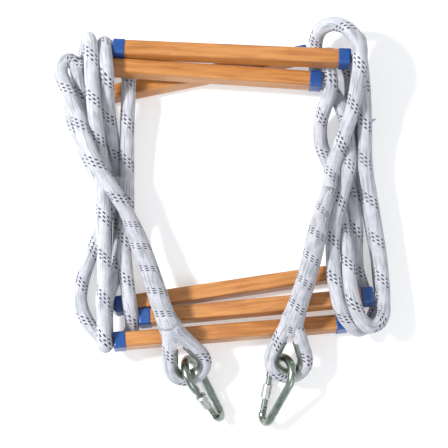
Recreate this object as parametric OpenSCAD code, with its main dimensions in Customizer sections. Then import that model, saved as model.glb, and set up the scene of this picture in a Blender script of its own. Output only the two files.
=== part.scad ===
// Escape rope ladder, folded up and tied: six wooden rungs between two
// braided side ropes. Each rope ends in a spliced eye on a steel thimble,
// and each eye carries a steel screw-lock carabiner. It lies on a floor,
// rungs along X, carabiners at the -Y end.

/* [Side ropes] */
// Diameter of the braided side rope
rope_d = 18; // [17:0.5:18]
// Diameter of the spliced length between an eye and the tie
splice_d = 24; // [21:0.5:24]

/* [Rungs] */
// Length of a rung between the faces that its ropes lie against
rung_length = 284; // [281:1:286]
// Side of the square rung
rung_side = 19; // [17:0.5:19.5]
// Radius of the rung's long edges
rung_edge_r = 3; // [1:0.5:5]
// Roll of each rung about its own length, in degrees
rung_roll = 22; // [15:1:30]
// Diameter of the tenon that goes through the rope
tenon_d = 10; // [6:0.5:12]
// Length of the tenon beyond the rung's face
tenon_length = 12; // [8:0.5:13]

/* [Rung end sleeves] */
// Length of a shrink sleeve
sleeve_length = 15; // [10:1:20]
// Wall of a shrink sleeve
sleeve_wall = 0.9; // [0.4:0.1:1.2]

/* [Eyes] */
// Radius of the rope's centre line round an eye
eye_r = 21; // [20.5:0.25:22]
// Thickness of the thimble's steel
thimble_t = 1.2; // [0.8:0.1:1.4]

/* [Carabiners] */
// Diameter of the carabiner's bar
bar_d = 10; // [8:0.5:10]
// Radius of the bar's centre line at the wide end
wide_r = 22; // [21.5:0.25:22.5]
// Radius of the bar's centre line at the narrow end
narrow_r = 9.5; // [9:0.5:10]
// Distance between the centres of the two end bends
bend_distance = 52; // [52:0.5:53]
// Diameter of the gate
gate_d = 8; // [7:0.5:8]
// Outside diameter of the screw sleeve
lock_d = 14.5; // [12:0.5:15]
// Length of the screw sleeve
lock_length = 19; // [14:1:19]

/* [Ties] */
// Width of a clear tie
tie_width = 20; // [10:1:24]
// Thickness of a clear tie
tie_t = 0.4; // [0.3:0.1:0.4]

/* [Hidden] */

rope_colour = "whitesmoke";
splice_colour = "lavender";
wood_colour = "peru";
sleeve_colour = "royalblue";
steel_colour = "silver";
brass_colour = "darkkhaki";
film_colour = "aliceblue";

rope_sides = 10;          // sides of a rope's tube
rope_fit = 0.1;           // the tube is drawn this much under the rope's radius
throat_u = -34;           // where an eye's two legs meet the splice, from the eye's centre

// ---- Route of the left rope, from its splice to its free end ----
// Splice, up to the start of the bare rope under the tie
left_splice = [[-62, -122, 61], [-71, -101, 58], [-83, -66, 52], [-95, -34, 49],
    [-107, -2, 49], [-117, 20, 52]];
// Over the tie, round the top bend and down to rung 1
left_to_rung_1 = [[-128, 38, 60], [-140, 56, 66], [-152, 77, 69], [-163, 103, 64],
    [-172, 130, 57], [-182, 155, 52], [-189, 170, 50], [-193, 182, 48], [-191, 191, 46],
    [-184, 196, 43], [-177, 192, 42], [-174, 184, 41]];
// Down through the tie, out in a side loop and up to rung 2
left_to_rung_2 = [[-171, 169, 38], [-166, 151, 36], [-158, 127, 33], [-151, 98, 30],
    [-142, 67, 27], [-135, 37, 26], [-140, 8, 28], [-151, -19, 25], [-163, -46, 15],
    [-171, -71, 10], [-173, -95, 9.5], [-166, -116, 9.5], [-155, -131, 9.5],
    [-142, -140, 9.5], [-128, -142, 9.5], [-116, -137, 10], [-110, -127, 14],
    [-109, -118, 22]];
// Up through the tie, between two rungs and round to rung 3
left_to_rung_3 = [[-110, -107, 30], [-112, -91, 34], [-115, -67, 32], [-118, -40, 29],
    [-118, -13, 26], [-115, 17, 26], [-115, 41, 26], [-115, 71, 27], [-115, 101, 30],
    [-114, 131, 34], [-113, 149, 36], [-113, 163, 33], [-113, 174, 28], [-116, 185, 23],
    [-122, 197, 20], [-131, 207, 20], [-138, 214, 24], [-141, 217, 32], [-141, 215, 43]];
// Down under the tie to rung 4
left_to_rung_4 = [[-140, 208, 54], [-139, 197, 63], [-137, 182, 67], [-137, 161, 58],
    [-136, 131, 43], [-132, 97, 25], [-127, 70, 12], [-124, 37, 9.5], [-124, 2, 9.5],
    [-125, -31, 12], [-128, -58, 22], [-135, -77, 28], [-140, -95, 31], [-140, -115, 31],
    [-140, -136, 29], [-140, -143, 32]];
// Up over the tie and the lower rungs, round the top bend to rung 5
left_to_rung_5 = [[-140, -146, 39], [-140, -143, 46], [-141, -136, 49], [-141, -109, 49],
    [-141, -79, 49], [-141, -41, 48], [-142, -5, 49], [-142, 22, 47], [-143, 43, 45],
    [-145, 71, 48], [-148, 101, 52], [-151, 131, 62], [-153, 161, 69], [-154, 182, 71],
    [-155, 202, 67], [-157, 215, 58], [-160, 221, 45], [-163, 217, 32], [-167, 203, 19],
    [-177, 182, 12], [-184, 166, 12]];
// Along the floor to rung 6
left_to_rung_6 = [[-185, 150, 13], [-183, 130, 11], [-175, 106, 9.5], [-160, 74, 9.5],
    [-147, 44, 9.5], [-143, 17, 9.5], [-143, -19, 9.5], [-143, -55, 9.5], [-142, -82, 10],
    [-142, -103, 12.5]];

// ---- Route of the right rope ----
// Splice, up to the start of the bare rope at the tie
right_splice = [[83, -118, 47], [89, -98, 53], [99, -67, 55], [109, -28, 54],
    [118, 13, 49], [127, 41, 43]];
// Over the tie, round the top arch and down to rung 1
right_to_rung_1 = [[133, 71, 31], [144, 103, 45], [154, 134, 54], [159, 164, 64],
    [162, 192, 69], [159, 216, 65], [146, 233, 58], [130, 238, 50], [117, 232, 40],
    [112, 220, 32], [112, 209, 30], [116, 200, 30], [123, 193, 30], [128, 184, 32]];
// Down through the tie and round the lower bend to rung 2
right_to_rung_2 = [[130, 172, 37], [129, 158, 36], [123, 140, 30], [118, 120, 20],
    [120, 96, 11], [130, 71, 9.5], [136, 44, 9.5], [142, 20, 15], [146, -7, 25],
    [150, -36, 38], [151, -65, 50], [155, -90, 56], [160, -104, 52], [167, -116, 48],
    [176, -122, 43], [186, -119, 39], [192, -110, 35]];
// Up through the tie and over to rung 3
right_to_rung_3 = [[193, -95, 33], [192, -67, 30], [189, -37, 28], [184, -5, 28],
    [178, 32, 28], [172, 71, 29], [171, 101, 33], [170, 131, 42], [168, 161, 47],
    [166, 182, 50], [164, 197, 51]];
// Back down under it, through the tie and round the lower bend to rung 4
right_to_rung_4 = [[164, 210, 51], [163, 218, 47], [163, 221, 39], [163, 218, 32],
    [163, 210, 28], [163, 192, 28], [164, 167, 28], [166, 134, 25], [169, 107, 17],
    [170, 89, 10], [170, 67, 9.5], [175, 32, 9.5], [182, -5, 9.5], [188, -37, 9.5],
    [191, -67, 10], [192, -88, 10], [187, -104, 10], [180, -118, 12], [172, -125, 18]];
// Up through the tie and along the floor to rung 5
right_to_rung_5 = [[162, -127, 28], [153, -119, 37], [145, -109, 43], [139, -95, 50],
    [136, -82, 53], [133, -64, 50], [132, -37, 42], [133, -10, 37], [139, 18, 34],
    [146, 44, 30], [152, 71, 28], [152, 101, 28], [148, 127, 27], [140, 149, 20],
    [130, 165, 12], [120, 175, 9.5], [114, 186, 9.5]];
// Back along the floor to rung 6, and the free end
right_to_rung_6 = [[115, 198, 10.5], [122, 205, 11], [134, 205, 10], [146, 199, 9.5],
    [154, 186, 9.5], [157, 168, 9.5], [155, 143, 9.5], [152, 119, 9.5], [151, 92, 9.5],
    [151, 67, 9.5], [156, 41, 10], [160, 17, 12], [162, -10, 13], [162, -37, 13],
    [164, -59, 12.5], [169, -74, 10], [174, -88, 9.5]];

left_rope = concat([left_splice[5]], left_to_rung_1, left_to_rung_2, left_to_rung_3,
    left_to_rung_4, left_to_rung_5, left_to_rung_6);
right_rope = concat([right_splice[5]], right_to_rung_1, right_to_rung_2, right_to_rung_3,
    right_to_rung_4, right_to_rung_5, right_to_rung_6);

// ---- Rungs, in their order along the ladder: face at the left rope, and a point
// that the rung's middle line passes through at the right rope ----
rung_lines = [
    [[-164.5, 189, 44], [119, 171, 37]],
    [[-101, -114.5, 21], [182, -87, 32]],
    [[-131, 209, 44], [153, 196, 52]],
    [[-131, -141.5, 36], [151, -120, 14]],
    [[-174.5, 149.5, 12.6], [104, 206, 12.6]],
    [[-131, -100, 12.6], [151, -58, 12.6]],
];

// ---- Eyes and carabiners: heading is the plan direction away from the rungs ----
// [point where the eye's rope hangs in the carabiner, eye heading, eye pitch]
eye_places = [[[-35.5, -184.5, 30], -68, 29], [[77.6, -183.5, 25.7], -94, 18]];
// [centre of the wide bend, heading, pitch down, roll]
hook_places = [[[-33.4, -183.2, 27.6], -59, 14.8, -70], [[70.5, -182.8, 26], -109, 11.5, 56]];

// Carabiner outline
side_tilt = asin((wide_r - narrow_r) / bend_distance);
side_length = bend_distance * cos(side_tilt);
pin_t = 4.5;              // pin's place along the gate side, from the narrow bend
gate_end_t = 38.4;        // free end of the gate
nose_t = 39;              // end of the nose that the gate meets
nose_shoulder_t = 45;     // where the nose thickens to the bar
lock_t = 17.5;            // lower end of the screw sleeve, unlocked
pin_d = 2.6;
tang_t = 3.6;             // thickness of the flat tang in the gate's fork
tang_r = 3.5;
fork_gap = 4.2;
fork_depth = 10;          // end of the gate's slot
bore_d = 4.6;             // bore for the spring
bore_end_t = 27;
plunger_d = 4.2;
plunger_end_t = 13;
spring_wall = 0.5;
running_gap = 0.1;
weld = 0.4;               // each straight length of bar runs this far into the bends
straight_d = bar_d - 0.04;

// ---- Sweep of a tube along a list of points ----
function unit(v) = v / norm(v);
function across(v, t) = unit(v - t * (v * t));
// Direction at point i: the tangent of the circle through it and its neighbours
function heading(p, i) =
    i == 0 ? unit(p[1] - p[0]) :
    i == len(p) - 1 ? unit(p[i] - p[i - 1]) :
    let (a = p[i] - p[i - 1], b = p[i + 1] - p[i])
    unit(a * norm(b) / norm(a) + b * norm(a) / norm(b));
function sideways(p, first) =
    [for (i = 0, s = across(first, heading(p, 0)); i < len(p);
        i = i + 1, s = i < len(p) ? across(s, heading(p, i)) : s) s];
// One ring of the tube: half width a across, half height b
function ring(c, t, s, a, b, n) =
    let (up = cross(t, s))
    [for (k = [0:n - 1]) c + s * a * cos(360 * k / n) + up * b * sin(360 * k / n)];

module swept_tube(points, widths, heights, first, n = rope_sides) {
    sides = sideways(points, first);
    rings = [for (i = [0:len(points) - 1])
        ring(points[i], heading(points, i), sides[i], widths[i], heights[i], n)];
    last = len(points) - 1;
    vertices = [for (r = rings) each r];
    walls = [for (i = [0:last - 1]) for (k = [0:n - 1])
        [i * n + k, (i + 1) * n + k, (i + 1) * n + (k + 1) % n, i * n + (k + 1) % n]];
    start_cap = [for (k = [0:n - 1]) k];
    end_cap = [for (k = [n - 1:-1:0]) last * n + k];
    polyhedron(vertices, concat([start_cap], walls, [end_cap]), convexity = 10);
}

module rope(points) {
    r = rope_d / 2 - rope_fit;
    color(rope_colour)
        swept_tube(points, [for (p = points) r], [for (p = points) r], [1, 0, 0]);
}

// ---- Eyes ----
// Local frame: X down the eye to its outer bend, Y across it, Z through its hole,
// and the origin at the middle of the round bend
leg_tilt = 20;
leg_start = [-eye_r * sin(leg_tilt), eye_r * cos(leg_tilt)];
throat_half = leg_start[1] - (leg_start[0] - throat_u) * tan(leg_tilt);

module in_eye_frame(i) {
    place = eye_places[i];
    translate(place[0]) rotate([0, 0, place[1]]) rotate([0, place[2], 0])
        translate([-eye_r, 0, 0]) children();
}

function eye_axis(i) =
    let (h = eye_places[i][1], p = eye_places[i][2]) [cos(h) * cos(p), sin(h) * cos(p), -sin(p)];
function eye_across(i) = let (h = eye_places[i][1]) [-sin(h), cos(h), 0];
function throat(i) = eye_places[i][0] + eye_axis(i) * (throat_u - eye_r);

module eye(i) {
    r = rope_d / 2 - rope_fit;
    bend = [for (a = [90 + leg_tilt:-20:-90 - leg_tilt]) [eye_r * cos(a), eye_r * sin(a), 0]];
    middle = (leg_start[0] + throat_u) / 2;
    middle_half = (leg_start[1] + throat_half) / 2;
    route = concat([[throat_u, throat_half, 0], [middle, middle_half, 0]], bend,
        [[middle, -middle_half, 0], [throat_u, -throat_half, 0]]);
    color(rope_colour) in_eye_frame(i)
        swept_tube(route, [for (p = route) r], [for (p = route) r], [0, 0, 1], 12);
}

// The splice starts wide and flat where the eye's two legs meet
module splice(i, points) {
    r = splice_d / 2;
    bare = rope_d / 2 - rope_fit;
    start = throat(i) - eye_axis(i) * 1.5;
    route = concat([start, start - eye_axis(i) * 6], points);
    widths = [throat_half + bare, throat_half + 5, r + 1, r, r, r, r - 1.5, bare];
    heights = [bare, bare + 1, r - 1, r, r, r, r - 1.5, bare];
    color(splice_colour) swept_tube(route, widths, heights, eye_across(i), 12);
}

// The thimble is a steel channel round the inside of the eye
module thimble_profile() {
    inner = rope_d / 2 + 0.1;
    translate([eye_r, 0]) intersection() {
        difference() {
            circle(inner + thimble_t, $fn = 64);
            circle(inner, $fn = 64);
        }
        translate([-inner - 2 * thimble_t, -inner]) square([7, 2 * inner]);
    }
}

module thimble(i) {
    leg = 20;
    color(steel_colour) in_eye_frame(i) {
        rotate([0, 0, -90 - leg_tilt]) rotate_extrude(angle = 180 + 2 * leg_tilt, $fn = 96)
            thimble_profile();
        for (side = [-1, 1])
            rotate([0, 0, side * (90 + leg_tilt)]) rotate([side * 90, 0, 0])
                translate([0, 0, -leg]) linear_extrude(leg) thimble_profile();
    }
}

// ---- Rungs ----
module rounded_bar(side, edge_r, length) {
    linear_extrude(length) {
        square([side, side - 2 * edge_r], center = true);
        square([side - 2 * edge_r, side], center = true);
        for (x = [-1, 1]) for (y = [-1, 1])
            translate([x, y] * (side / 2 - edge_r)) circle(edge_r, $fn = 32);
    }
}

// Local frame: Z along the rung from its left face, Y the normal of its upper flat
module along_rung(i) {
    start = rung_lines[i][0];
    v = rung_lines[i][1] - start;
    translate(start) rotate([0, 0, atan2(v[1], v[0])])
        rotate([0, -asin(v[2] / norm(v)), 0]) rotate([-rung_roll, 0, 0])
        rotate([90, 0, 90]) children();
}

module rung(i) {
    face_gap = sleeve_wall;
    color(wood_colour) along_rung(i) {
        translate([0, 0, face_gap])
            rounded_bar(rung_side, rung_edge_r, rung_length - 2 * face_gap);
        translate([0, 0, -tenon_length])
            cylinder(d = tenon_d, h = rung_length + 2 * tenon_length, $fn = 48);
    }
}

// A sleeve is a cup over the rung's end with a hole for the tenon
module end_sleeve(i, right) {
    side = rung_side + 2 * sleeve_wall;
    color(sleeve_colour) along_rung(i)
        translate([0, 0, right ? rung_length : 0]) mirror([0, 0, right ? 1 : 0])
        difference() {
            rounded_bar(side, rung_edge_r + sleeve_wall, sleeve_length);
            translate([0, 0, sleeve_wall])
                rounded_bar(rung_side, rung_edge_r, sleeve_length);
            translate([0, 0, -1]) cylinder(d = tenon_d, h = 3, $fn = 48);
        }
}

// ---- Carabiners ----
// Local frame: X from the wide bend to the narrow one, Y to the solid side, Z square
// to the ring. The origin is the centre of the wide bend.
module in_hook_frame(i) {
    place = hook_places[i];
    translate(place[0]) rotate([0, 0, place[1]]) rotate([0, place[2], 0])
        rotate([place[3], 0, 0]) children();
}

// Local frame: Z along the gate side from the narrow bend, X outward, Y square to the ring
module along_gate() {
    translate([bend_distance + narrow_r * sin(side_tilt), -narrow_r * cos(side_tilt), 0])
        rotate([0, 0, 180 + side_tilt]) rotate([0, 90, 0]) rotate([0, 0, 90]) children();
}

module bend(radius, from, sweep) {
    rotate([0, 0, from]) rotate_extrude(angle = sweep, $fn = 96)
        translate([radius, 0]) circle(d = bar_d, $fn = 48);
}

module carabiner(i) {
    color(steel_colour) in_hook_frame(i) {
        bend(wide_r, 90 - side_tilt, 180 + 2 * side_tilt);
        translate([bend_distance, 0, 0])
            bend(narrow_r, side_tilt - 90, 180 - 2 * side_tilt);
        translate([wide_r * sin(side_tilt), wide_r * cos(side_tilt), 0])
            rotate([0, 90, -side_tilt]) translate([0, 0, -weld])
            cylinder(d = straight_d, h = side_length + 2 * weld, $fn = 48);
        along_gate() {
            translate([0, 0, nose_shoulder_t])
                cylinder(d = straight_d, h = side_length - nose_shoulder_t + weld, $fn = 48);
            translate([0, 0, nose_t])
                cylinder(d = gate_d, h = nose_shoulder_t - nose_t + 1, $fn = 48);
            difference() {
                union() {
                    translate([-tang_r, -tang_t / 2, -1]) cube([2 * tang_r, tang_t, pin_t + 1]);
                    translate([0, tang_t / 2, pin_t]) rotate([90, 0, 0])
                        cylinder(r = tang_r, h = tang_t, $fn = 48);
                }
                translate([0, tang_t, pin_t]) rotate([90, 0, 0])
                    cylinder(d = pin_d, h = 2 * tang_t, $fn = 32);
            }
        }
    }
}

module gate(i) {
    color(steel_colour) in_hook_frame(i) along_gate() difference() {
        union() {
            translate([0, 0, pin_t]) cylinder(d = gate_d, h = gate_end_t - pin_t, $fn = 48);
            intersection() {
                translate([0, gate_d / 2, pin_t]) rotate([90, 0, 0])
                    cylinder(d = gate_d, h = gate_d, $fn = 48);
                cylinder(d = gate_d, h = 2 * pin_t, $fn = 48);
            }
        }
        translate([-gate_d, -fork_gap / 2, -1]) cube([2 * gate_d, fork_gap, fork_depth + 1]);
        translate([0, 0, fork_depth - 1])
            cylinder(d = bore_d, h = bore_end_t - fork_depth + 1, $fn = 32);
        translate([0, gate_d, pin_t]) rotate([90, 0, 0])
            cylinder(d = pin_d + running_gap, h = 2 * gate_d, $fn = 32);
    }
}

module gate_pin(i) {
    length = gate_d - 0.6;
    color(steel_colour) in_hook_frame(i) along_gate()
        translate([0, length / 2, pin_t]) rotate([90, 0, 0])
        cylinder(d = pin_d, h = length, $fn = 32);
}

module gate_plunger(i) {
    start = pin_t + tang_r + 0.5;
    color(brass_colour) in_hook_frame(i) along_gate() {
        translate([0, 0, fork_depth]) cylinder(d = plunger_d, h = plunger_end_t - fork_depth, $fn = 32);
        translate([0, 0, start]) cylinder(d = 3, h = fork_depth - start + 0.5, $fn = 32);
    }
}

module gate_spring(i) {
    color(steel_colour) in_hook_frame(i) along_gate()
        translate([0, 0, plunger_end_t + 0.05]) difference() {
            cylinder(d = plunger_d, h = bore_end_t - plunger_end_t - 0.15, $fn = 32);
            translate([0, 0, -1]) cylinder(d = plunger_d - 2 * spring_wall, h = 20, $fn = 32);
        }
}

module screw_sleeve(i) {
    chamfer = 1.2;
    color(steel_colour) in_hook_frame(i) along_gate() translate([0, 0, lock_t])
        difference() {
            rotate_extrude($fn = 64) polygon([[0, 0], [lock_d / 2 - chamfer, 0],
                [lock_d / 2, chamfer], [lock_d / 2, lock_length - chamfer],
                [lock_d / 2 - chamfer, lock_length], [0, lock_length]]);
            translate([0, 0, -1])
                cylinder(d = gate_d + 2 * running_gap, h = lock_length + 2, $fn = 48);
        }
}

// ---- Ties: a clear band round the six strands ----
// [strand centres seen along Y as [x, z], y of the band's middle]
tie_places = [
    [[[-155, 11], [-139, 9.5], [-123, 9.5], [-114.6, 26], [-142, 68], [-125, 61]], 46],
    [[[131, 9.8], [170.5, 9.8], [173, 29], [131, 36]], 72],
];

module tie(i) {
    strand_r = rope_d / 2;
    color(film_colour, 0.5) translate([0, tie_places[i][1] + tie_width / 2, 0])
        rotate([90, 0, 0]) linear_extrude(tie_width) difference() {
            hull() for (c = tie_places[i][0]) translate(c) circle(strand_r + tie_t, $fn = 48);
            hull() for (c = tie_places[i][0]) translate(c) circle(strand_r, $fn = 48);
        }
}

rope(left_rope);  // rope_left
rope(right_rope);  // rope_right
splice(0, left_splice);  // splice_left
splice(1, right_splice);  // splice_right
eye(0);  // eye_left
eye(1);  // eye_right
thimble(0);  // thimble_left
thimble(1);  // thimble_right
tie(0);  // tie_left
tie(1);  // tie_right
for (i = [0:5]) {
    rung(i);
    end_sleeve(i, false);
    end_sleeve(i, true);
}
for (i = [0:1]) {
    side = ["left", "right"][i];
    carabiner(i);
    gate(i);
    gate_pin(i);
    gate_plunger(i);
    gate_spring(i);
    screw_sleeve(i);
}
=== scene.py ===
"""Escape rope ladder, folded and tied: braided ropes, spliced eyes, rungs and carabiners."""

import math

import bpy
import numpy as np
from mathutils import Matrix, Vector


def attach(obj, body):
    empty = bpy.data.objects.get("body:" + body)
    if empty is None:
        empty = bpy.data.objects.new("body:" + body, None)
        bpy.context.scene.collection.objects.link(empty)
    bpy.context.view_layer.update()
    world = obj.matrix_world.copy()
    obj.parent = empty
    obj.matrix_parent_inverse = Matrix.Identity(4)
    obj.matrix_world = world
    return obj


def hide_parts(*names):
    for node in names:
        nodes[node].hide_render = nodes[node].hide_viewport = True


MM = 0.001
SIDES = ("left", "right")
LADDER = "ladder"

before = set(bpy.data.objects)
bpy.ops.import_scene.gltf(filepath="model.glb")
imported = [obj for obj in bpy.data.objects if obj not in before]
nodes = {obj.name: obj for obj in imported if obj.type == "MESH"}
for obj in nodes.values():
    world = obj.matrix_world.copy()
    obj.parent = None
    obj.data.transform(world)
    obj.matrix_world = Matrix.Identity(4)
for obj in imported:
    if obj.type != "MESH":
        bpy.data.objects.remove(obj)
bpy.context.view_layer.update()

# ---- Camera: straight above the folded ladder ----
CAMERA_X = 0.0018
CAMERA_HEIGHT = 1.9
VIEW_WIDTH = 0.5376       # width that the picture covers, at FOCUS_HEIGHT above the floor
FOCUS_HEIGHT = 0.035
SENSOR_WIDTH = 36         # mm
camera_data = bpy.data.cameras.new("camera")
camera_data.sensor_width = SENSOR_WIDTH
camera_data.lens = SENSOR_WIDTH * (CAMERA_HEIGHT - FOCUS_HEIGHT) / VIEW_WIDTH
camera_data.clip_end = 20
camera = bpy.data.objects.new("camera", camera_data)
camera.location = (CAMERA_X, 0, CAMERA_HEIGHT)
bpy.context.collection.objects.link(camera)
bpy.context.scene.camera = camera

# ---- Rope routes, in mm, the same points as the CAD ----
LEFT_SPLICE = [
    (-62, -122, 61), (-71, -101, 58), (-83, -66, 52), (-95, -34, 49), (-107, -2, 49),
    (-117, 20, 52)]
LEFT_ROPE = [
    (-117, 20, 52),
    (-128, 38, 60), (-140, 56, 66), (-152, 77, 69), (-163, 103, 64), (-172, 130, 57),
    (-182, 155, 52), (-189, 170, 50), (-193, 182, 48), (-191, 191, 46), (-184, 196, 43),
    (-177, 192, 42), (-174, 184, 41),
    (-171, 169, 38), (-166, 151, 36), (-158, 127, 33), (-151, 98, 30), (-142, 67, 27),
    (-135, 37, 26), (-140, 8, 28), (-151, -19, 25), (-163, -46, 15), (-171, -71, 10),
    (-173, -95, 9.5), (-166, -116, 9.5), (-155, -131, 9.5), (-142, -140, 9.5),
    (-128, -142, 9.5), (-116, -137, 10), (-110, -127, 14), (-109, -118, 22),
    (-110, -107, 30), (-112, -91, 34), (-115, -67, 32), (-118, -40, 29), (-118, -13, 26),
    (-115, 17, 26), (-115, 41, 26), (-115, 71, 27), (-115, 101, 30), (-114, 131, 34),
    (-113, 149, 36), (-113, 163, 33), (-113, 174, 28), (-116, 185, 23), (-122, 197, 20),
    (-131, 207, 20), (-138, 214, 24), (-141, 217, 32), (-141, 215, 43),
    (-140, 208, 54), (-139, 197, 63), (-137, 182, 67), (-137, 161, 58), (-136, 131, 43),
    (-132, 97, 25), (-127, 70, 12), (-124, 37, 9.5), (-124, 2, 9.5), (-125, -31, 12),
    (-128, -58, 22), (-135, -77, 28), (-140, -95, 31), (-140, -115, 31), (-140, -136, 29),
    (-140, -143, 32),
    (-140, -146, 39), (-140, -143, 46), (-141, -136, 49), (-141, -109, 49), (-141, -79, 49),
    (-141, -41, 48), (-142, -5, 49), (-142, 22, 47), (-143, 43, 45), (-145, 71, 48),
    (-148, 101, 52), (-151, 131, 62), (-153, 161, 69), (-154, 182, 71), (-155, 202, 67),
    (-157, 215, 58), (-160, 221, 45), (-163, 217, 32), (-167, 203, 19), (-177, 182, 12),
    (-184, 166, 12),
    (-185, 150, 13), (-183, 130, 11), (-175, 106, 9.5), (-160, 74, 9.5), (-147, 44, 9.5),
    (-143, 17, 9.5), (-143, -19, 9.5), (-143, -55, 9.5), (-142, -82, 10), (-142, -103, 12.5)]
RIGHT_SPLICE = [
    (83, -118, 47), (89, -98, 53), (99, -67, 55), (109, -28, 54), (118, 13, 49),
    (127, 41, 43)]
RIGHT_ROPE = [
    (127, 41, 43),
    (133, 71, 31), (144, 103, 45), (154, 134, 54), (159, 164, 64), (162, 192, 69),
    (159, 216, 65), (146, 233, 58), (130, 238, 50), (117, 232, 40), (112, 220, 32),
    (112, 209, 30), (116, 200, 30), (123, 193, 30), (128, 184, 32),
    (130, 172, 37), (129, 158, 36), (123, 140, 30), (118, 120, 20), (120, 96, 11),
    (130, 71, 9.5), (136, 44, 9.5), (142, 20, 15), (146, -7, 25), (150, -36, 38),
    (151, -65, 50), (155, -90, 56), (160, -104, 52), (167, -116, 48), (176, -122, 43),
    (186, -119, 39), (192, -110, 35),
    (193, -95, 33), (192, -67, 30), (189, -37, 28), (184, -5, 28), (178, 32, 28),
    (172, 71, 29), (171, 101, 33), (170, 131, 42), (168, 161, 47), (166, 182, 50),
    (164, 197, 51),
    (164, 210, 51), (163, 218, 47), (163, 221, 39), (163, 218, 32), (163, 210, 28),
    (163, 192, 28), (164, 167, 28), (166, 134, 25), (169, 107, 17), (170, 89, 10),
    (170, 67, 9.5), (175, 32, 9.5), (182, -5, 9.5), (188, -37, 9.5), (191, -67, 10),
    (192, -88, 10), (187, -104, 10), (180, -118, 12), (172, -125, 18),
    (162, -127, 28), (153, -119, 37), (145, -109, 43), (139, -95, 50), (136, -82, 53),
    (133, -64, 50), (132, -37, 42), (133, -10, 37), (139, 18, 34), (146, 44, 30),
    (152, 71, 28), (152, 101, 28), (148, 127, 27), (140, 149, 20), (130, 165, 12),
    (120, 175, 9.5), (114, 186, 9.5),
    (115, 198, 10.5), (122, 205, 11), (134, 205, 10), (146, 199, 9.5), (154, 186, 9.5),
    (157, 168, 9.5), (155, 143, 9.5), (152, 119, 9.5), (151, 92, 9.5), (151, 67, 9.5),
    (156, 41, 10), (160, 17, 12), (162, -10, 13), (162, -37, 13), (164, -59, 12.5),
    (169, -74, 10), (174, -88, 9.5)]

ROPE_R = 8.9 * MM
SPLICE_R = 12 * MM
PITCH = 48 * MM          # length of one turn of a yarn round the rope
SPLICE_PITCH = 29 * MM   # the yarns lie flatter where the rope is swollen by its splice
YARNS = 20               # yarns wound each way
MARKED_YARNS = 3         # dark yarns, all wound the same way
DOME_REACH = 4 * MM      # length over which a rope's closed end rounds off
COLLAR_R = 7 * MM        # rope round the tenon of a rung
COLLAR_STOPS = (-0.3, 4, 8, 12.6)  # mm out from the rung's end face

# ---- Eyes and rungs, as in the CAD ----
EYE_R = 21 * MM
EYES = {
    "left": (Vector((-35.5, -184.5, 30)) * MM, math.radians(-68), math.radians(29)),
    "right": (Vector((77.6, -183.5, 25.7)) * MM, math.radians(-94), math.radians(18))}
LEG_TILT = math.radians(20)
THROAT_U = -34 * MM       # where the legs meet, along the eye's axis
SPLICE_OVERLAP = 3 * MM   # how far the splice reaches over the eye's throat
SPLICE_STRAIGHT = 9 * MM  # straight start of the splice
SPLICE_TAPER = (120 * MM, 172 * MM)  # where the splice thins out to plain rope
THROAT_WRAP = (-31, -40, -50, -60)   # film on the left throat, mm along the eye's axis
LEGS_IN_SPLICE = [(-24 * MM, -7 * MM), (-11 * MM, -4.4 * MM)]  # past the throat: along, inward
RUNGS = [
    ((-164.5, 189, 44), (119, 171, 37)),
    ((-101, -114.5, 21), (182, -87, 32)),
    ((-131, 209, 44), (153, 196, 52)),
    ((-131, -141.5, 36), (151, -120, 14)),
    ((-174.5, 149.5, 12.6), (104, 206, 12.6)),
    ((-131, -100, 12.6), (151, -58, 12.6))]
RUNG_LENGTH = 284 * MM
RUNG_SIDE = 19 * MM
RUNG_EDGE_R = 3 * MM
RUNG_ROLL = math.radians(22)


# ---- Small maths ----
def unit(v):
    return v / np.linalg.norm(v)


def smoothstep(lo, hi, x):
    t = np.clip((x - lo) / (hi - lo), 0, 1)
    return t * t * (3 - 2 * t)


def tangents(p):
    """Direction at each point: the tangent of the circle through it and its neighbours."""
    out = [unit(p[1] - p[0])]
    for i in range(1, len(p) - 1):
        a, b = p[i] - p[i - 1], p[i + 1] - p[i]
        la, lb = np.linalg.norm(a), np.linalg.norm(b)
        out.append(unit(a * lb / la + b * la / lb))
    out.append(unit(p[-1] - p[-2]))
    return np.array(out)


def spline(points, step):
    """Points every step along a smooth curve through the given ones, and their distances."""
    p = np.array(points, float)
    t = tangents(p)
    fine = []
    for i in range(len(p) - 1):
        chord = np.linalg.norm(p[i + 1] - p[i])
        for k in range(16):
            x = k / 16
            fine.append(
                (2 * x**3 - 3 * x**2 + 1) * p[i] + (x**3 - 2 * x**2 + x) * t[i] * chord
                + (3 * x**2 - 2 * x**3) * p[i + 1] + (x**3 - x**2) * t[i + 1] * chord)
    fine = np.array(fine + [p[-1]])
    run = np.concatenate([[0], np.cumsum(np.linalg.norm(np.diff(fine, axis=0), axis=1))])
    count = max(2, round(run[-1] / step) + 1)
    s = np.linspace(0, run[-1], count)
    return np.stack([np.interp(s, run, fine[:, k]) for k in range(3)], 1), s


def side_vectors(centres, first):
    """Two vectors square to the curve at each point, carried along without twist."""
    t = np.gradient(centres, axis=0)
    t /= np.linalg.norm(t, axis=1)[:, None]
    side = [unit(np.array(first, float) - t[0] * np.dot(first, t[0]))]
    for k in range(1, len(t)):
        side.append(unit(side[-1] - t[k] * np.dot(side[-1], t[k])))
    side = np.array(side)
    return side, np.cross(t, side)


# ---- Meshes ----
def mesh_piece(name, verts, faces, material, replaces=(), uvs=None):
    """A new smooth object that rides the ladder's body."""
    mesh = bpy.data.meshes.new(name)
    mesh.from_pydata([tuple(v) for v in verts], [], faces)
    if uvs is not None:
        layer = mesh.uv_layers.new(name="lay")
        layer.data.foreach_set("uv", np.asarray(uvs, float).ravel())
    mesh.polygons.foreach_set("use_smooth", [True] * len(mesh.polygons))
    mesh.materials.append(material)
    mesh.update()
    obj = bpy.data.objects.new(name, mesh)
    bpy.context.collection.objects.link(obj)
    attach(obj, LADDER)
    if replaces:
        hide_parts(*replaces)
    return obj


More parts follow.
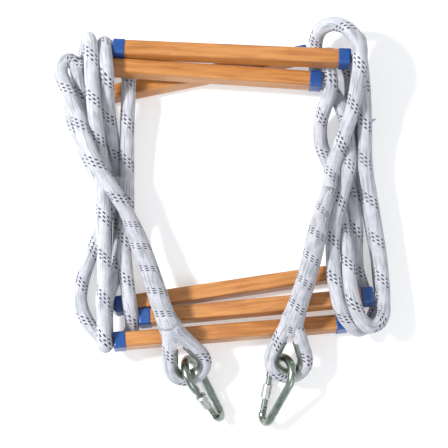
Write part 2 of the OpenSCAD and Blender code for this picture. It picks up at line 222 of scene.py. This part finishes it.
def lofted(rings, closed_ends=True):
    """Vertices and faces of a tube through rings, an array (rings, sides, 3)."""
    m, n = rings.shape[:2]
    a = np.arange(m - 1)[:, None] * n + np.arange(n)[None, :]
    b = np.arange(m - 1)[:, None] * n + (np.arange(n)[None, :] + 1) % n
    faces = np.stack([a, b, b + n, a + n], -1).reshape(-1, 4).tolist()
    if closed_ends:
        faces += [list(range(n - 1, -1, -1)), list(range((m - 1) * n, m * n))]
    return rings.reshape(-1, 3), faces


def braid_height(x, y):
    """Low diamond relief of the braid, from 0 to 1, at yarn counts x round and y along."""
    return 0.5 + 0.25 * (np.cos(np.pi * (x + y)) + np.cos(np.pi * (x - y)))


def braided_tube(name, points, material, width, height, pitch, first=(1, 0, 0),
                 sides=52, step=1.2 * MM, relief=0.3 * MM, dome=(True, True), replaces=()):
    """A braided rope along points. width and height are functions of the distance along it."""
    centres, s = spline(points, step)
    side, up = side_vectors(centres, first)
    angle = np.arange(sides) * 2 * np.pi / sides
    x = np.arange(sides)[None, :] * YARNS / sides
    y = s[:, None] * YARNS / pitch
    drop = relief * (1 - braid_height(x, y))
    total = s[-1]
    a = width(s)[:, None] - drop
    b = height(s)[:, None] - drop
    for near, wanted in ((s, dome[0]), (total - s, dome[1])):
        if wanted:
            inset = 1 - np.clip(near / DOME_REACH, 0, 1)
            shrink = np.sqrt(np.clip(1 - inset**2, 0.02, 1))[:, None]
            a, b = a * shrink, b * shrink
    rings = (centres[:, None] + side[:, None] * (a * np.cos(angle))[..., None]
             + up[:, None] * (b * np.sin(angle))[..., None])
    verts, faces = lofted(rings)
    u0 = np.broadcast_to(x, (len(s) - 1, sides))
    u1 = u0 + YARNS / sides
    v0 = np.broadcast_to(y[:-1], (len(s) - 1, sides))
    v1 = np.broadcast_to(y[1:], (len(s) - 1, sides))
    uv = np.stack([u0, v0, u1, v0, u1, v1, u0, v1], -1).reshape(-1, 2)
    uv = np.concatenate([uv, np.zeros((2 * sides, 2))])
    obj = mesh_piece(name, verts, faces, material, replaces=replaces, uvs=uv)
    return obj, centres, total


# ---- Materials ----
class Nodes:
    """A material's node tree, with short calls for its nodes."""

    def __init__(self, name, **values):
        self.material = bpy.data.materials.new(name)
        self.material.use_nodes = True
        self.tree = self.material.node_tree
        self.shader = self.tree.nodes["Principled BSDF"]
        for socket, value in values.items():
            self.shader.inputs[socket.replace("_", " ")].default_value = value

    def node(self, kind, inputs=(), **settings):
        n = self.tree.nodes.new(kind)
        for key, value in settings.items():
            setattr(n, key, value)
        for key, value in dict(inputs).items():
            self.put(n.inputs[key], value)
        return n

    def put(self, socket, value):
        if isinstance(value, bpy.types.NodeSocket):
            self.tree.links.new(value, socket)
        else:
            socket.default_value = value

    def math(self, operation, a, b=0.0, c=0.0):
        return self.node("ShaderNodeMath", {0: a, 1: b, 2: c}, operation=operation).outputs[0]

    def mix(self, factor, a, b):
        n = self.node("ShaderNodeMix", data_type="RGBA")
        self.put(n.inputs["Factor"], factor)
        self.put(n.inputs[6], a)
        self.put(n.inputs[7], b)
        return n.outputs[2]

    def noise(self, vector, scale, detail=3.0, rough=0.5):
        return self.node("ShaderNodeTexNoise", {"Vector": vector, "Scale": scale,
                         "Detail": detail, "Roughness": rough}).outputs["Fac"]

    def ramp(self, value, lo, hi):
        n = self.node("ShaderNodeMapRange", {"Value": value, "From Min": lo, "From Max": hi})
        n.interpolation_type = "SMOOTHSTEP"
        return n.outputs[0]

    def spread(self, value, lo, hi):
        n = self.node("ShaderNodeMapRange", {"Value": value, "To Min": lo, "To Max": hi})
        return n.outputs[0]

    def scaled(self, vector, scale):
        return self.node("ShaderNodeMapping", {"Vector": vector, "Scale": scale}).outputs[0]

    def bump(self, height, strength, distance, normal=None):
        n = self.node("ShaderNodeBump", {"Height": height, "Strength": strength,
                      "Distance": distance})
        if normal is not None:
            self.put(n.inputs["Normal"], normal)
        return n.outputs[0]

    def set(self, socket, value):
        self.put(self.shader.inputs[socket], value)

    def position(self):
        return self.node("ShaderNodeTexCoord").outputs["Object"]


def rgb(r, g, b):
    """A colour given as on a screen, from 0 to 255."""
    return tuple((c / 255 / 12.92 if c / 255 <= 0.04045 else ((c / 255 + 0.055) / 1.055) ** 2.4)
                 for c in (r, g, b)) + (1.0,)


def braid_material(name, light, shade, mark, streak):
    """Two sets of yarns, each going over two and under two, some yarns dark, with painted shade in
    the hollows between them.
    """
    m = Nodes(name, Roughness=0.78, Sheen_Weight=0.25, Sheen_Roughness=0.5)
    lay = m.node("ShaderNodeUVMap", uv_map="lay").outputs[0]
    split = m.node("ShaderNodeSeparateXYZ", {0: lay})
    x, y = split.outputs[0], split.outputs[1]
    u, v = m.math("ADD", x, y), m.math("SUBTRACT", x, y)
    row_u, row_v = m.math("FLOOR", u), m.math("FLOOR", v)
    on_top = m.math("LESS_THAN", m.math("FLOORED_MODULO", m.math("ADD", row_u, row_v), 4), 1.5)

    def crown(w):
        across = m.math("MULTIPLY_ADD", m.math("FRACT", w), 2, -1)
        return m.math("SUBTRACT", 1, m.math("POWER", m.math("ABSOLUTE", across), 2.4))

    def plies(w):
        return m.math("SINE", m.math("MULTIPLY", m.math("FRACT", w), 2 * math.pi * 3))

    def choose(a, b):
        return m.node("ShaderNodeMix", {"Factor": on_top, 2: b, 3: a}).outputs[0]

    height = choose(crown(u), crown(v))
    ply = choose(plies(u), plies(v))
    relief = m.math("MULTIPLY_ADD", ply, 0.12, height)
    # every second yarn of one group is dark, so that each dash stands apart
    yarn = m.math("FLOORED_MODULO", row_u, YARNS)
    odd = m.math("LESS_THAN", m.math("FLOORED_MODULO", yarn, 2), 0.5)
    dark = m.math("MULTIPLY", m.math("LESS_THAN", yarn, 2 * MARKED_YARNS - 1.5), on_top)
    dark = m.math("MULTIPLY", m.math("MULTIPLY", dark, odd), m.ramp(height, 0.1, 0.4))
    place = m.position()
    mottle = m.noise(place, 95, 3)
    fuzz = m.noise(place, 1800, 2)
    stripes = m.noise(m.scaled(lay, (1, 0.07, 1)), 1.1, 2)
    # painted shade: a darker copy of the yarn colour for the hollows between the yarns' crowns
    painted_crevice_shade = tuple(c * 0.42 for c in shade[:3]) + (1,)
    rubbed = tuple(min(1, c * 2.5 + 0.03) for c in mark[:3]) + (1,)
    base = m.mix(m.ramp(mottle, 0.35, 0.7), light, shade)
    base = m.mix(m.math("MULTIPLY", m.ramp(stripes, 0.5, 0.66), 0.8), base, streak)
    # painted shade laid into the hollows, stronger the lower the relief
    base = m.mix(m.ramp(height, 0.75, 0.0), base, painted_crevice_shade)
    ink = m.mix(m.ramp(fuzz, 0.45, 0.75), mark, rubbed)
    m.set("Base Color", m.mix(dark, base, ink))
    m.set("Roughness", m.spread(mottle, 0.68, 0.9))
    fine = m.bump(fuzz, 0.25, 0.15 * MM)
    m.set("Normal", m.bump(relief, 0.9, 0.7 * MM, fine))
    return m.material


def wood_material(name, turn, seed):
    """Varnished wood, its grain along the rung; turn is the rung's angle in plan."""
    m = Nodes(name, Coat_Weight=0.35, Coat_Roughness=0.22)
    place = m.node("ShaderNodeMapping", {"Vector": m.position(),
                   "Rotation": (0, 0, -turn), "Location": (seed * 0.37, seed * 0.11, 0)}).outputs[0]
    figure = m.noise(m.scaled(place, (0.06, 1, 1)), 260, 5, 0.6)
    fibres = m.noise(m.scaled(place, (0.025, 1, 1)), 1500, 3, 0.6)
    pores = m.noise(m.scaled(place, (0.12, 1, 1)), 2400, 2, 0.5)
    broad = m.noise(m.scaled(place, (0.35, 1, 1)), 45, 2, 0.5)
    colour = m.mix(m.ramp(figure, 0.35, 0.68), rgb(190, 128, 66), rgb(160, 98, 42))
    colour = m.mix(m.math("MULTIPLY", m.ramp(fibres, 0.48, 0.75), 0.5), colour, rgb(124, 70, 30))
    colour = m.mix(m.math("MULTIPLY", m.ramp(broad, 0.4, 0.7), 0.4), colour, rgb(204, 144, 80))
    colour = m.mix(m.math("MULTIPLY", m.ramp(pores, 0.66, 0.78), 0.55), colour, rgb(96, 54, 24))
    m.set("Base Color", colour)
    m.set("Roughness", m.spread(fibres, 0.38, 0.6))
    m.set("Normal", m.bump(m.math("MULTIPLY_ADD", pores, -0.5, fibres), 0.35, 0.25 * MM))
    return m.material


def sleeve_material():
    """Blue heat-shrunk plastic, slightly uneven."""
    m = Nodes("shrink_sleeve", Coat_Weight=0.3, Coat_Roughness=0.15)
    place = m.position()
    soft = m.noise(place, 120, 3)
    m.set("Base Color", m.mix(soft, rgb(12, 58, 122), rgb(24, 80, 150)))
    m.set("Roughness", m.spread(m.noise(place, 500, 3), 0.28, 0.5))
    m.set("Normal", m.bump(m.noise(place, 260, 3), 0.3, 0.4 * MM))
    return m.material


def film_material():
    """Thin clear packing film, creased."""
    m = Nodes("clear_film", Alpha=0.1, IOR=1.48)
    place = m.position()
    m.set("Base Color", rgb(240, 243, 250))
    m.set("Roughness", m.spread(m.noise(place, 160, 3), 0.06, 0.2))
    m.set("Normal", m.bump(m.noise(place, 210, 4, 0.6), 0.7, 0.8 * MM))
    return m.material


def bunched_film_material(name, alpha, light, dark):
    """The same film where it is twisted or wound in layers, and no longer clear."""
    m = Nodes(name, Alpha=alpha, IOR=1.48)
    place = m.position()
    m.set("Base Color", m.mix(m.noise(place, 400, 3), light, dark))
    m.set("Roughness", m.spread(m.noise(place, 300, 3), 0.12, 0.3))
    m.set("Normal", m.bump(m.noise(place, 500, 4, 0.6), 0.8, 0.8 * MM))
    return m.material


def metal_material(name, colour, worn, rough=(0.16, 0.36)):
    """Polished or plated steel with faint scratches and duller patches."""
    m = Nodes(name, Metallic=1.0)
    place = m.position()
    patches = m.noise(place, 140, 4, 0.6)
    scratches = m.noise(place, 1600, 3, 0.6)
    m.set("Base Color", m.mix(m.ramp(patches, 0.4, 0.75), colour, worn))
    dull = m.math("MULTIPLY_ADD", scratches, 0.4, m.math("MULTIPLY", patches, 0.6))
    m.set("Roughness", m.spread(dull, *rough))
    m.set("Normal", m.bump(scratches, 0.12, 0.08 * MM))
    return m.material


YARN_LIGHT, YARN_SHADE = rgb(224, 222, 231), rgb(200, 203, 212)
BRAID = braid_material("braid", YARN_LIGHT, YARN_SHADE, rgb(28, 28, 56), rgb(146, 156, 162))
SPLICE = braid_material("splice_braid", YARN_LIGHT, YARN_SHADE, rgb(36, 36, 66),
                        rgb(156, 164, 170))
STEEL = metal_material("polished_steel", rgb(158, 168, 160), rgb(112, 124, 114))
LOCK = metal_material("lock_steel", rgb(214, 216, 214), rgb(186, 188, 186), (0.22, 0.42))
ZINC = metal_material("zinc_plate", rgb(166, 170, 164), rgb(128, 134, 126), (0.3, 0.5))
SPRING = metal_material("spring_wire", rgb(150, 150, 150), rgb(110, 110, 108), (0.3, 0.5))
BRASS = metal_material("brass", rgb(206, 172, 104), rgb(168, 132, 70), (0.25, 0.45))
BLUE = sleeve_material()
FILM = film_material()
BUNCHED_FILM = bunched_film_material("bunched_film", 0.7, rgb(206, 212, 216), rgb(160, 168, 172))
THROAT_FILM = bunched_film_material("throat_film", 0.4, rgb(240, 241, 248), rgb(206, 210, 222))


# ---- Ropes ----
def constant(value):
    return lambda s: np.full_like(s, value)


ROUTES = {"left": (LEFT_SPLICE, LEFT_ROPE), "right": (RIGHT_SPLICE, RIGHT_ROPE)}
for side in SIDES:
    route = [np.array(p) * MM for p in ROUTES[side][1]]
    rope, line, rope_length = braided_tube(
        f"braided_rope_{side}", route, BRAID, constant(ROPE_R), constant(ROPE_R),
        PITCH, dome=(False, True), replaces=[f"rope_{side}"])


# ---- Eyes and splices ----
def eye_frame(side):
    """Origin at the round bend's centre, and axes down the eye, across it and through it."""
    bottom, heading, pitch = EYES[side]
    u = Vector((math.cos(heading) * math.cos(pitch), math.sin(heading) * math.cos(pitch),
                -math.sin(pitch)))
    v = Vector((-math.sin(heading), math.cos(heading), 0))
    return bottom - u * EYE_R, u, v, u.cross(v)


def eye_points():
    """Centre line of the eye's rope in its own plane, from one leg round to the other."""
    start = (-EYE_R * math.sin(LEG_TILT), EYE_R * math.cos(LEG_TILT))
    half = start[1] - (start[0] - THROAT_U) * math.tan(LEG_TILT)
    middle = ((start[0] + THROAT_U) / 2, (start[1] + half) / 2)
    bend = [(EYE_R * math.cos(a), EYE_R * math.sin(a))
            for a in np.linspace(math.pi / 2 + LEG_TILT, -math.pi / 2 - LEG_TILT, 13)]
    legs = [(THROAT_U + along, half + inward) for along, inward in LEGS_IN_SPLICE]
    legs += [(THROAT_U, half), middle]
    return legs + bend + [(x, -y) for x, y in reversed(legs)]


def lead_width(s):
    """Half the splice's width across the eye, at distance s from the throat."""
    swell = 9.5 * MM + 4.5 * MM * smoothstep(0, 15 * MM, s)
    swell = swell + (SPLICE_R - swell) * smoothstep(18 * MM, 48 * MM, s)
    return swell + (ROPE_R - swell) * smoothstep(*SPLICE_TAPER, s)


def lead_height(s):
    """Half the splice's height through the eye, at distance s from the throat."""
    swell = ROPE_R + (SPLICE_R - ROPE_R) * smoothstep(2 * MM, 34 * MM, s)
    return swell + (ROPE_R - swell) * smoothstep(*SPLICE_TAPER, s)


def film_throat(o, u, v, w):
    """Creased film wound round an eye's throat, in that eye's own frame."""
    wrap, run = spline([np.array(o + u * a * MM) for a in THROAT_WRAP], 0.9 * MM)
    around = np.arange(64) * math.pi / 32
    half = (19.3 - 5.6 * smoothstep(0, 26 * MM, run)) * MM
    deep = (9.6 + 3.2 * smoothstep(2 * MM, 22 * MM, run)) * MM
    crease = 0.22 * MM * np.sin(7 * around[None, :] + 420 * run[:, None]) * np.sin(3 * around + 1)
    across = (half[:, None] + crease) * np.cos(around)
    through = (deep[:, None] + crease) * np.sin(around)
    rings = wrap[:, None] + np.array(v) * across[..., None] + np.array(w) * through[..., None]
    verts, faces = lofted(rings, closed_ends=False)
    mesh_piece("film_throat_left", verts, faces, THROAT_FILM)


for side in SIDES:
    o, u, v, w = eye_frame(side)
    loop = [np.array(o + u * a + v * b) for a, b in eye_points()]
    braided_tube(f"braided_eye_{side}", loop, BRAID, constant(ROPE_R),
                 constant(ROPE_R), PITCH, first=w, dome=(False, False),
                 replaces=[f"eye_{side}"])
    start = o + u * (THROAT_U + SPLICE_OVERLAP)
    lead = [np.array(start), np.array(start - u * SPLICE_STRAIGHT)]
    lead += [np.array(p) * MM for p in ROUTES[side][0]]
    if side == "left":
        film_throat(o, u, v, w)
    braided_tube(f"braided_splice_{side}", lead, SPLICE, lead_width,
                 lead_height, SPLICE_PITCH, first=v, sides=56, dome=(True, False),
                 replaces=[f"splice_{side}"])

# ---- Rungs keep their CAD shape; each has its own grain ----
for k, (start, end) in enumerate(RUNGS):
    turn = math.atan2(end[1] - start[1], end[0] - start[0])
    node = nodes[f"rung_{k + 1}"]
    node.data.materials.clear()
    node.data.materials.append(wood_material(f"varnished_wood_{k + 1}", turn, k + 1))


# ---- Shrink sleeves on the rung ends ----
def rounded_square(side, r, count=48):
    """Outline points of a square with rounded corners."""
    pts = []
    half = side / 2
    for k in range(count):
        a = math.pi / 2 * (k / (count // 4)) - math.pi / 4
        c, s = math.cos(a), math.sin(a)
        scale = half / max(abs(c), abs(s))
        p = np.array([c * scale, s * scale])
        inner = np.clip(p, -(half - r), half - r)
        d = p - inner
        if np.linalg.norm(d) > 1e-9 and abs(abs(inner[0]) - (half - r)) < 1e-9 \
                and abs(abs(inner[1]) - (half - r)) < 1e-9:
            p = inner + d / np.linalg.norm(d) * r
        pts.append(p)
    return np.array(pts)


# (distance in from the rung's end face, growth of the outline, part of the ripple)
SLEEVE_PROFILE = (
    (1.2, -4.6, 0), (0.2, -3.8, 0), (0.0, -2.4, 0), (0.1, -1.0, 0.0), (0.5, 0.1, 0.1),
    (1.3, 0.75, 0.2), (2.6, 0.95, 0.4), (5.0, 0.85, 0.8), (8.0, 0.8, 1.0),
    (11.0, 0.85, 1.0), (13.4, 0.95, 1.0), (14.4, 0.85, 1.0), (14.7, 0.5, 1.0),
    (14.5, 0.05, 1.0))


def rung_axes(k):
    """The rung's left end, and its own across, upper and along directions."""
    start, end = (np.array(p) * MM for p in RUNGS[k])
    d = unit(end - start)
    level = unit(np.array([-d[1], d[0], 0]))
    top = np.cross(d, level)
    # the upper flat leans back by the rung's roll
    upper = math.cos(RUNG_ROLL) * top + math.sin(RUNG_ROLL) * level
    across = math.cos(RUNG_ROLL) * level - math.sin(RUNG_ROLL) * top
    return start, across, upper, d


rng = np.random.default_rng(7)
for k in range(len(RUNGS)):
    start, across, upper, d = rung_axes(k)
    for side in SIDES:
        face = start if side == "left" else start + d * RUNG_LENGTH
        inward = d if side == "left" else -d
        outline = rounded_square(RUNG_SIDE, RUNG_EDGE_R)
        phases = rng.uniform(0, 2 * math.pi, 4)
        around = np.arange(len(outline)) * 2 * math.pi / len(outline)
        ripple = sum(np.sin(n * around + p) for n, p in zip((2, 3, 5, 7), phases)) / 4
        rings = []
        for depth, grow, part in SLEEVE_PROFILE:
            scale = 1 + 2 * grow * MM / RUNG_SIDE
            edge = 0.5 * MM * ripple * smoothstep(9, 15, depth)
            swell = 1 + 0.006 * ripple * part
            flat = outline * scale * swell[:, None]
            rings.append(face + across * flat[:, :1] + upper * flat[:, 1:]
                         + inward * (depth * MM + edge)[:, None])
        verts, faces = lofted(np.array(rings), closed_ends=False)
        mesh_piece(f"shrink_sleeve_{k + 1}_{side}", verts, faces, BLUE,
                   replaces=[f"sleeve_{k + 1}_{side}"])
        # the rope bulges round the tenon, up to the sleeve
        line = [face - inward * stop * MM for stop in COLLAR_STOPS]
        braided_tube(f"rope_collar_{k + 1}_{side}", line, BRAID,
                     constant(COLLAR_R), constant(COLLAR_R), PITCH, first=upper, sides=40)


# ---- Clear film ties ----
def hull_outline(circles, r, count=96):
    """Points round the convex outline of equal circles, seen as (x, z)."""
    c = np.array(circles, float)
    out = []
    for a in np.linspace(0, 2 * math.pi, count, endpoint=False):
        d = np.array([math.cos(a), math.sin(a)])
        best = c[np.argmax(c @ d)]
        out.append(best + d * r)
    return np.array(out)


# side: (strands that the tie goes round, as x and z in mm, and its middle along Y)
TIES = {
    "left": ([(-155, 11), (-139, 9.5), (-123, 9.5), (-114.6, 26), (-142, 68), (-125, 61)], 46),
    "right": ([(131, 9.8), (170.5, 9.8), (173, 29), (131, 36)], 72)}
TIE_R = 9.15              # mm, from a strand's centre to the film
TIE_HALF_LENGTH = 10      # mm
for side in SIDES:
    circles, middle = TIES[side]
    outline = hull_outline(circles, TIE_R)
    centre = outline.mean(0)
    around = np.arange(len(outline)) * 2 * math.pi / len(outline)
    rings = []
    phases = rng.uniform(0, 2 * math.pi, 5)
    for t in np.linspace(-1, 1, 15):
        crease = sum(np.sin(n * around + p + 2.5 * t * (n % 3 - 1)) for n, p in
                     zip((5, 9, 13, 17, 23), phases)) / 5
        y = middle + TIE_HALF_LENGTH * t + 0.9 * crease * abs(t)
        grow = 0.25 * crease
        outward = (outline - centre) / np.linalg.norm(outline - centre, axis=1)[:, None]
        flat = outline + outward * grow[:, None]
        rings.append(np.stack([flat[:, 0], np.broadcast_to(y, len(flat)),
                               np.maximum(flat[:, 1], 0.15)], 1) * MM)
    verts, faces = lofted(np.array(rings), closed_ends=False)
    mesh_piece(f"film_tie_{side}", verts, faces, FILM, replaces=[f"tie_{side}"])

# the free end of a film tie sticks out of the right bundle, in a flat twisted point
TIP_BASE, TIP_END = np.array([173.5, 121, 33]) * MM, np.array([184.5, 126, 37]) * MM
TIP_PROFILE = ((0, 4.2), (0.25, 3.6), (0.5, 2.6), (0.75, 1.5), (0.95, 0.7), (1, 0.2))
rings = []
for t, half in TIP_PROFILE:
    centre = TIP_BASE + (TIP_END - TIP_BASE) * t
    angle = np.arange(16) * math.pi / 8
    rings.append(centre + np.stack([0.25 * np.cos(angle) + 0.15 * np.sin(9 * t + angle),
                                    np.cos(angle), 0.45 * np.sin(angle)], 1) * half * MM)
verts, faces = lofted(np.array(rings))
mesh_piece("film_tie_tip", verts, faces, BUNCHED_FILM)

# ---- Steel parts keep their CAD shapes ----
for side in SIDES:
    for name, material in (("carabiner", STEEL), ("gate", STEEL), ("gate_pin", LOCK),
                           ("gate_plunger", BRASS), ("gate_spring", SPRING),
                           ("screw_sleeve", LOCK), ("thimble", ZINC)):
        mesh = nodes[f"{name}_{side}"].data
        mesh.materials.clear()
        mesh.materials.append(material)

# ---- Floor and light ----
FLOOR_HALF = 6
corners = [(x * FLOOR_HALF, y * FLOOR_HALF, 0) for x, y in ((-1, -1), (1, -1), (1, 1), (-1, 1))]
floor_mesh = bpy.data.meshes.new("floor")
floor_mesh.from_pydata(corners, [], [(0, 1, 2, 3)])
floor = bpy.data.objects.new("floor", floor_mesh)
bpy.context.collection.objects.link(floor)
floor_paint = Nodes("floor_paint", Roughness=0.9, Emission_Strength=0.4)
floor_paint.set("Base Color", rgb(225, 225, 225))
floor_paint.set("Emission Color", rgb(250, 250, 250))
floor_mesh.materials.append(floor_paint.material)


def area_light(name, place, size, power):
    """A round white lamp that points at the ladder."""
    data = bpy.data.lights.new(name, "AREA")
    data.shape = "DISK"
    data.size = size
    data.energy = power
    light = bpy.data.objects.new(name, data)
    light.location = place
    light.rotation_euler = (-Vector(place)).to_track_quat("-Z", "Y").to_euler()
    bpy.context.collection.objects.link(light)


area_light("window", (-1.5, 0.5, 1.7), 0.35, 66)
area_light("fill", (0.9, -1.4, 2.2), 1.6, 14)
SKY_COLOUR, SKY_STRENGTH = (0.93, 0.96, 1, 1), 0.6
world = bpy.data.worlds.new("studio")
world.use_nodes = True
background = world.node_tree.nodes["Background"]
background.inputs["Color"].default_value = SKY_COLOUR
background.inputs["Strength"].default_value = SKY_STRENGTH
bpy.context.scene.world = world
bpy.context.scene.view_settings.view_transform = "Standard"

bpy.context.view_layer.update()
